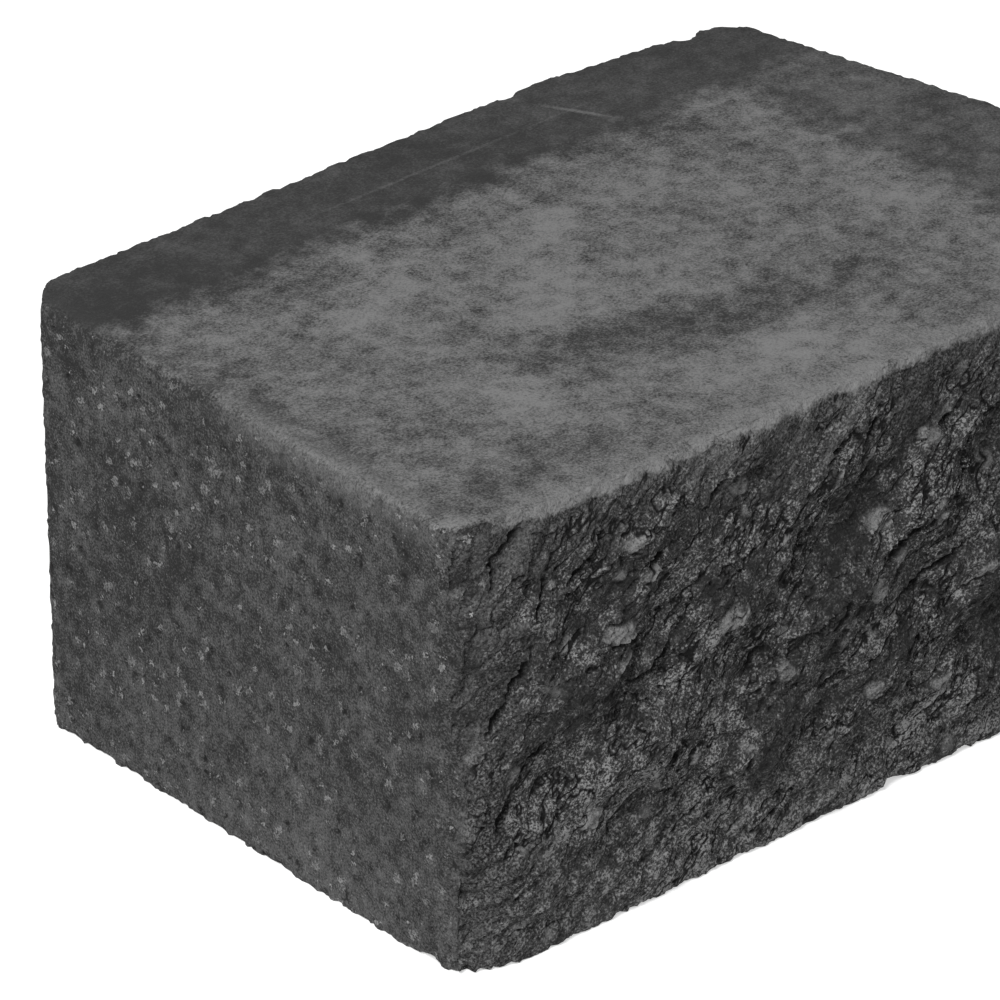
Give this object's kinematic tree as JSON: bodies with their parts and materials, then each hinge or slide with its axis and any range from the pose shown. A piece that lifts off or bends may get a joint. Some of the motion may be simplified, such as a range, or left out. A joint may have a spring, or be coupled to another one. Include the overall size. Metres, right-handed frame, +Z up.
{
  "type": "corner wall block",
  "caption": "Solid concrete corner block for a low garden wall, with a rough split front, a flat moulded corner end and a butt end that tapers towards the back.",
  "frame": {"origin": "on the bed face, midway along the front and midway between the split plane and the back", "axes": "+X along the length from the square corner end to the tapered butt end, +Y from the split front to the back, +Z up from the bed to the pressed top"},
  "size_m": [0.2934, 0.1956, 0.13],
  "materials": {
    "concrete": "matte dry-cast charcoal concrete, split on the front and moulded elsewhere"
  },
  "bodies": {
    "root": {"corner_block": "concrete"}
  },
  "joints": []
}
